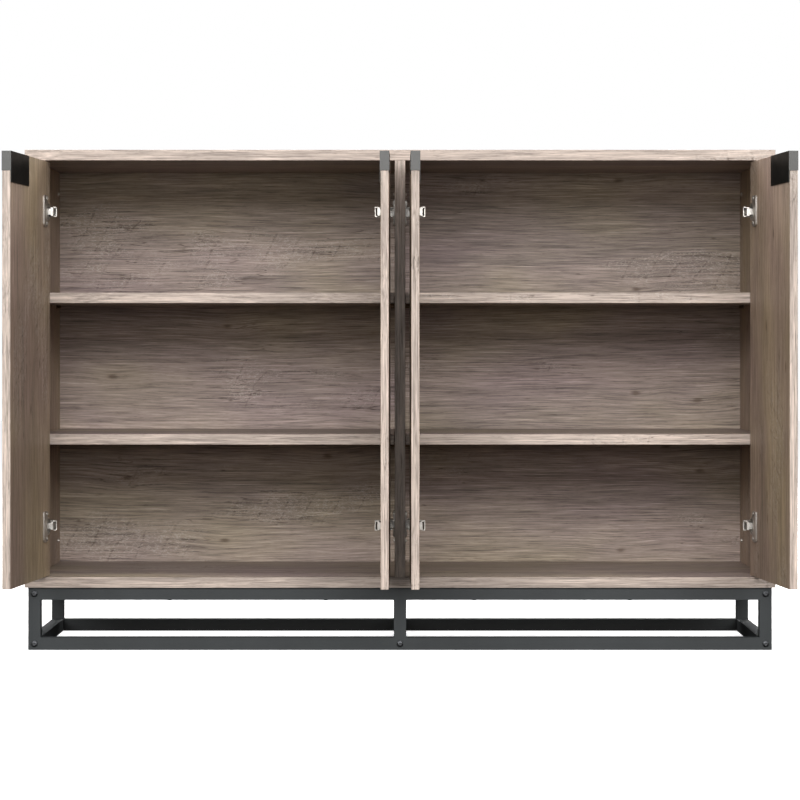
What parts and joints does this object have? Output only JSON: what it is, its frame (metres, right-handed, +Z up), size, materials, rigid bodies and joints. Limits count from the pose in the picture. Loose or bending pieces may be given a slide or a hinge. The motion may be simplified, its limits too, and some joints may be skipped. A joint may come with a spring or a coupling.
{
  "type": "sideboard buffet",
  "caption": "Oak-faced sideboard with inset hinged doors, shelves and corner pulls, on an open square-tube steel base.",
  "frame": {"origin": "on the floor, at the middle of the base, on the underside of the centre lower rail", "axes": "+X to the right seen from the front, +Y from the front to the back, +Z up"},
  "size_m": [1.2032, 0.6108, 0.8],
  "materials": {
    "oak": "rustic grey-brown oak laminate with open grain, satin",
    "back_oak": "rustic oak print on thin board, matt",
    "black_steel": "fine-textured charcoal powder coat",
    "bolt_black": "black oxide",
    "pull_black": "satin black coat",
    "nickel": "bright nickel plate"
  },
  "bodies": {
    "root": {"top_board": "oak", "bottom_board": "oak", "left_side_board": "oak", "right_side_board": "oak", "centre_divider": "oak", "left_back_board": "back_oak", "right_back_board": "back_oak", "left_lower_shelf": "oak", "left_upper_shelf": "oak", "right_lower_shelf": "oak", "right_upper_shelf": "oak", "front_frame": "black_steel", "rear_frame": "black_steel", "left_lower_rail": "black_steel", "centre_lower_rail": "black_steel", "right_lower_rail": "black_steel", "left_upper_rail": "black_steel", "right_upper_rail": "black_steel", "front_left_lower_bolt": "bolt_black", "front_centre_lower_bolt": "bolt_black", "front_right_lower_bolt": "bolt_black", "front_left_upper_bolt": "bolt_black", "front_right_upper_bolt": "bolt_black", "rear_left_lower_bolt": "bolt_black", "rear_centre_lower_bolt": "bolt_black", "rear_right_lower_bolt": "bolt_black", "rear_left_upper_bolt": "bolt_black", "rear_right_upper_bolt": "bolt_black", "outer_left_upper_hinge_arm": "nickel", "outer_left_lower_hinge_arm": "nickel", "inner_left_upper_hinge_arm": "nickel", "inner_left_lower_hinge_arm": "nickel", "inner_right_upper_hinge_arm": "nickel", "inner_right_lower_hinge_arm": "nickel", "outer_right_upper_hinge_arm": "nickel", "outer_right_lower_hinge_arm": "nickel", "outer_left_upper_hinge_plate": "nickel", "outer_left_lower_hinge_plate": "nickel", "inner_left_upper_hinge_plate": "nickel", "inner_left_lower_hinge_plate": "nickel", "inner_right_upper_hinge_plate": "nickel", "inner_right_lower_hinge_plate": "nickel", "outer_right_upper_hinge_plate": "nickel", "outer_right_lower_hinge_plate": "nickel"},
    "outer_left_door": {"outer_left_door_board": "oak", "outer_left_corner_pull": "pull_black", "outer_left_upper_hinge_cup": "nickel", "outer_left_lower_hinge_cup": "nickel"},
    "inner_left_door": {"inner_left_door_board": "oak", "inner_left_corner_pull": "pull_black", "inner_left_upper_hinge_cup": "nickel", "inner_left_lower_hinge_cup": "nickel"},
    "inner_right_door": {"inner_right_door_board": "oak", "inner_right_corner_pull": "pull_black", "inner_right_upper_hinge_cup": "nickel", "inner_right_lower_hinge_cup": "nickel"},
    "outer_right_door": {"outer_right_door_board": "oak", "outer_right_corner_pull": "pull_black", "outer_right_upper_hinge_cup": "nickel", "outer_right_lower_hinge_cup": "nickel"}
  },
  "joints": [
    {"name": "outer_left_door_hinge", "type": "hinge", "parent": "root", "child": "outer_left_door", "pos_m": [-0.56696, -0.166, 0.45], "axis": [0, 0, -1], "range_deg": [-95.3, 15]},
    {"name": "inner_left_door_hinge", "type": "hinge", "parent": "root", "child": "inner_left_door", "pos_m": [-0.02454, -0.166, 0.45], "axis": [0, 0, 1], "range_deg": [-89.7, 2.8]},
    {"name": "inner_right_door_hinge", "type": "hinge", "parent": "root", "child": "inner_right_door", "pos_m": [0.02454, -0.166, 0.45], "axis": [0, 0, -1], "range_deg": [-89.7, 2.8]},
    {"name": "outer_right_door_hinge", "type": "hinge", "parent": "root", "child": "outer_right_door", "pos_m": [0.56696, -0.166, 0.45], "axis": [0, 0, 1], "range_deg": [-95.3, 15]}
  ]
}
